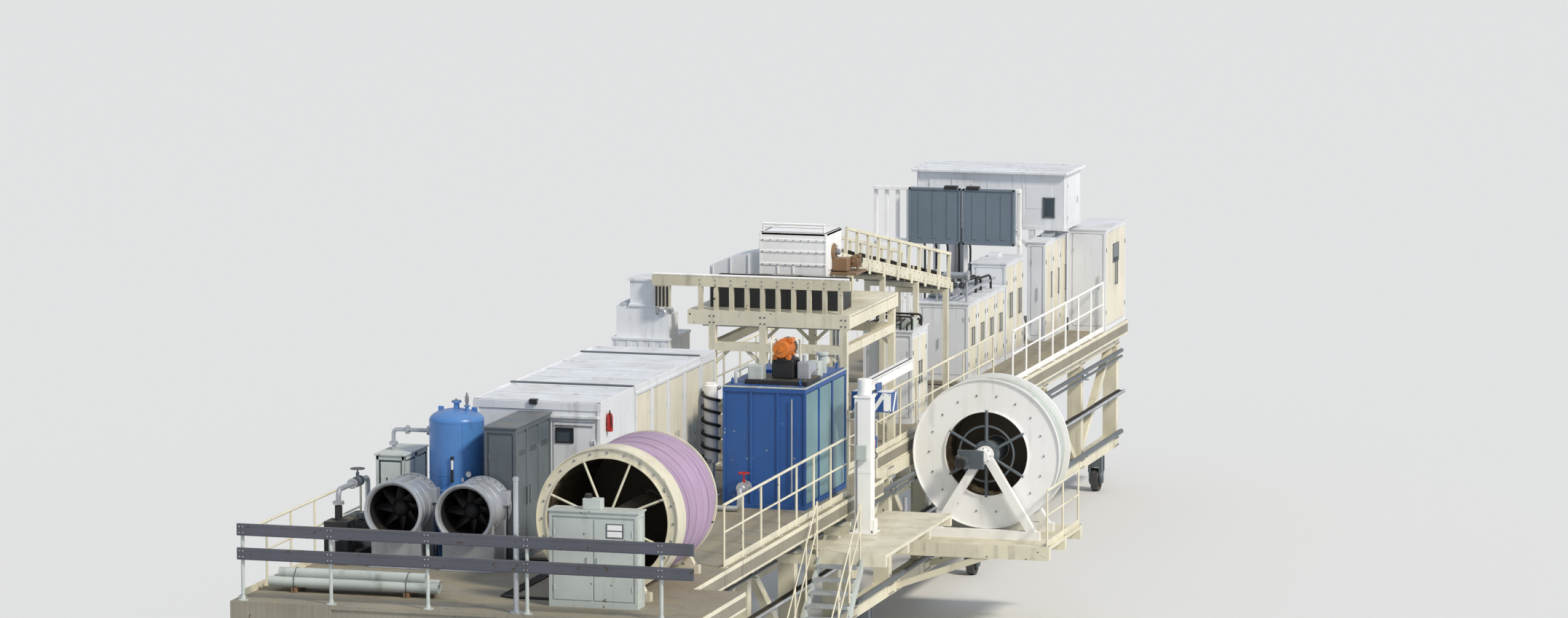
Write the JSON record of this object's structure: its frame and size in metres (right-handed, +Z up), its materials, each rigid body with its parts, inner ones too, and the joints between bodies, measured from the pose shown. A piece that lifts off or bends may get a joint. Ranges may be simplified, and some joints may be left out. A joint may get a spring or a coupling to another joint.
{
  "type": "tunnel boring machine back-up gantry train",
  "caption": "Hinged back-up gantries of a tunnel boring machine, with hose reels, control room, fans, tanks, jib hoist and a belt conveyor over a service passage.",
  "frame": {"origin": "on the floor, at the centre of the train's outline", "axes": "+Z up, +Y forward towards the tunnel face, +X to the right"},
  "size_m": [9.2, 39.4, 8.0403],
  "materials": {
    "black_steel": "black paint",
    "cream_paint": "satin cream paint, dusty",
    "galvanised": "galvanised sheet",
    "grey_paint": "dark grey paint",
    "mix_blue": "deep blue paint",
    "pale_grey_paint": "pale grey paint",
    "reel_hose": "lilac layflat hose",
    "tan_paint": "tan paint",
    "tank_blue": "bright blue enamel",
    "wheel_steel": "cast wheel with a worn tread",
    "white_paint": "white paint with dirt runs"
  },
  "bodies": {
    "mid_gantry": {"mid_side_frames": "cream_paint", "mid_deck": "cream_paint", "mid_bogies": "grey_paint", "low_platform": "cream_paint", "front_reel_stand": "cream_paint", "dust_filter": "white_paint", "upper_frame": "cream_paint", "ladder_railing": "tan_paint", "discharge_head": "white_paint", "discharge_chute": "pale_grey_paint", "belt_conveyor": "cream_paint", "conveyor_trestles": "cream_paint", "mid_cabinet": "pale_grey_paint", "mid_railings": "cream_paint"},
    "rear_gantry": {"rear_side_frames": "cream_paint", "rear_deck": "cream_paint", "rear_bogies": "grey_paint", "rear_guardrail": "grey_paint", "rear_railings": "cream_paint", "side_platform": "cream_paint", "access_stair": "pale_grey_paint", "control_room": "white_paint", "switch_room": "white_paint", "reel_stand": "cream_paint", "reel_control_box": "white_paint", "fan_casings": "galvanised", "air_receiver": "tank_blue", "rear_cabinets": "grey_paint", "pump_set": "grey_paint", "stored_pipes": "pale_grey_paint", "mixing_tank": "mix_blue", "mixer_drive": "grey_paint", "hose_rack": "black_steel", "jib_column": "white_paint"},
    "front_gantry": {"front_side_frames": "cream_paint", "front_deck": "cream_paint", "front_bogies": "grey_paint", "front_cabinets": "white_paint", "panel_rack": "cream_paint", "machine_room": "white_paint", "front_railings": "cream_paint"},
    "control_room_door": {"control_room_door": "pale_grey_paint"},
    "hose_reel": {"hose_reel": "reel_hose"},
    "front_hose_reel": {"front_hose_reel": "white_paint"},
    "fan_rotor_left": {"fan_rotor_left": "grey_paint"},
    "fan_rotor_right": {"fan_rotor_right": "grey_paint"},
    "jib_arm": {"jib_arm": "white_paint"},
    "jib_hoist": {"jib_hoist": "tank_blue"},
    "rear_wheel_1": {"rear_wheel_1": "wheel_steel"},
    "rear_wheel_2": {"rear_wheel_2": "wheel_steel"},
    "rear_wheel_3": {"rear_wheel_3": "wheel_steel"},
    "rear_wheel_4": {"rear_wheel_4": "wheel_steel"},
    "mid_wheel_1": {"mid_wheel_1": "wheel_steel"},
    "mid_wheel_2": {"mid_wheel_2": "wheel_steel"},
    "mid_wheel_3": {"mid_wheel_3": "wheel_steel"},
    "mid_wheel_4": {"mid_wheel_4": "wheel_steel"},
    "front_wheel_1": {"front_wheel_1": "wheel_steel"},
    "front_wheel_2": {"front_wheel_2": "wheel_steel"},
    "front_wheel_3": {"front_wheel_3": "wheel_steel"},
    "front_wheel_4": {"front_wheel_4": "wheel_steel"}
  },
  "joints": [
    {"name": "rear_coupling", "type": "hinge", "parent": "mid_gantry", "child": "rear_gantry", "pos_m": [0, -3.9, 3.42], "axis": [0, 0, 1], "range_deg": [-3, 3]},
    {"name": "front_coupling", "type": "hinge", "parent": "mid_gantry", "child": "front_gantry", "pos_m": [0, 8.3, 3.42], "axis": [0, 0, 1], "range_deg": [-3, 3]},
    {"name": "rear_wheel_1_roll", "type": "hinge", "parent": "rear_gantry", "child": "rear_wheel_1", "pos_m": [-1.45, -18.2, 0.25], "axis": [1, 0, 0], "continuous": true},
    {"name": "rear_wheel_2_roll", "type": "hinge", "parent": "rear_gantry", "child": "rear_wheel_2", "pos_m": [-1.45, -5.7, 0.25], "axis": [1, 0, 0], "continuous": true},
    {"name": "rear_wheel_3_roll", "type": "hinge", "parent": "rear_gantry", "child": "rear_wheel_3", "pos_m": [1.45, -18.2, 0.25], "axis": [1, 0, 0], "continuous": true},
    {"name": "rear_wheel_4_roll", "type": "hinge", "parent": "rear_gantry", "child": "rear_wheel_4", "pos_m": [1.45, -5.7, 0.25], "axis": [1, 0, 0], "continuous": true},
    {"name": "mid_wheel_1_roll", "type": "hinge", "parent": "mid_gantry", "child": "mid_wheel_1", "pos_m": [-1.45, -2.1, 0.25], "axis": [1, 0, 0], "continuous": true},
    {"name": "mid_wheel_2_roll", "type": "hinge", "parent": "mid_gantry", "child": "mid_wheel_2", "pos_m": [-1.45, 6.5, 0.25], "axis": [1, 0, 0], "continuous": true},
    {"name": "mid_wheel_3_roll", "type": "hinge", "parent": "mid_gantry", "child": "mid_wheel_3", "pos_m": [1.45, -2.1, 0.25], "axis": [1, 0, 0], "continuous": true},
    {"name": "mid_wheel_4_roll", "type": "hinge", "parent": "mid_gantry", "child": "mid_wheel_4", "pos_m": [1.45, 6.5, 0.25], "axis": [1, 0, 0], "continuous": true},
    {"name": "front_wheel_1_roll", "type": "hinge", "parent": "front_gantry", "child": "front_wheel_1", "pos_m": [-1.45, 10.1, 0.25], "axis": [1, 0, 0], "continuous": true},
    {"name": "front_wheel_2_roll", "type": "hinge", "parent": "front_gantry", "child": "front_wheel_2", "pos_m": [-1.45, 17.77, 0.25], "axis": [1, 0, 0], "continuous": true},
    {"name": "front_wheel_3_roll", "type": "hinge", "parent": "front_gantry", "child": "front_wheel_3", "pos_m": [1.45, 10.1, 0.25], "axis": [1, 0, 0], "continuous": true},
    {"name": "front_wheel_4_roll", "type": "hinge", "parent": "front_gantry", "child": "front_wheel_4", "pos_m": [1.45, 17.77, 0.25], "axis": [1, 0, 0], "continuous": true},
    {"name": "hose_reel_turn", "type": "hinge", "parent": "rear_gantry", "child": "hose_reel", "pos_m": [1.26, -17.7, 4.87], "axis": [0, 1, 0], "continuous": true},
    {"name": "front_hose_reel_turn", "type": "hinge", "parent": "mid_gantry", "child": "front_hose_reel", "pos_m": [3.13, 1.2, 3.36], "axis": [0, 1, 0], "continuous": true},
    {"name": "fan_left_turn", "type": "hinge", "parent": "rear_gantry", "child": "fan_rotor_left", "pos_m": [-3.0096, -15.66, 4.6], "axis": [0, 1, 0], "continuous": true},
    {"name": "fan_right_turn", "type": "hinge", "parent": "rear_gantry", "child": "fan_rotor_right", "pos_m": [-1.74864, -15.66, 4.6], "axis": [0, 1, 0], "continuous": true},
    {"name": "control_room_door_hinge", "type": "hinge", "parent": "rear_gantry", "child": "control_room_door", "pos_m": [-0.414, -13.042, 4], "axis": [0, 0, 1], "range_deg": [0, 100]},
    {"name": "jib_swing", "type": "hinge", "parent": "rear_gantry", "child": "jib_arm", "pos_m": [2.7, -6.7, 5.6], "axis": [0, 0, 1], "range_deg": [-100, 10]},
    {"name": "hoist_travel", "type": "slide", "parent": "jib_arm", "child": "jib_hoist", "axis": [0, 1, 0], "range_m": [0, 1.5]}
  ]
}
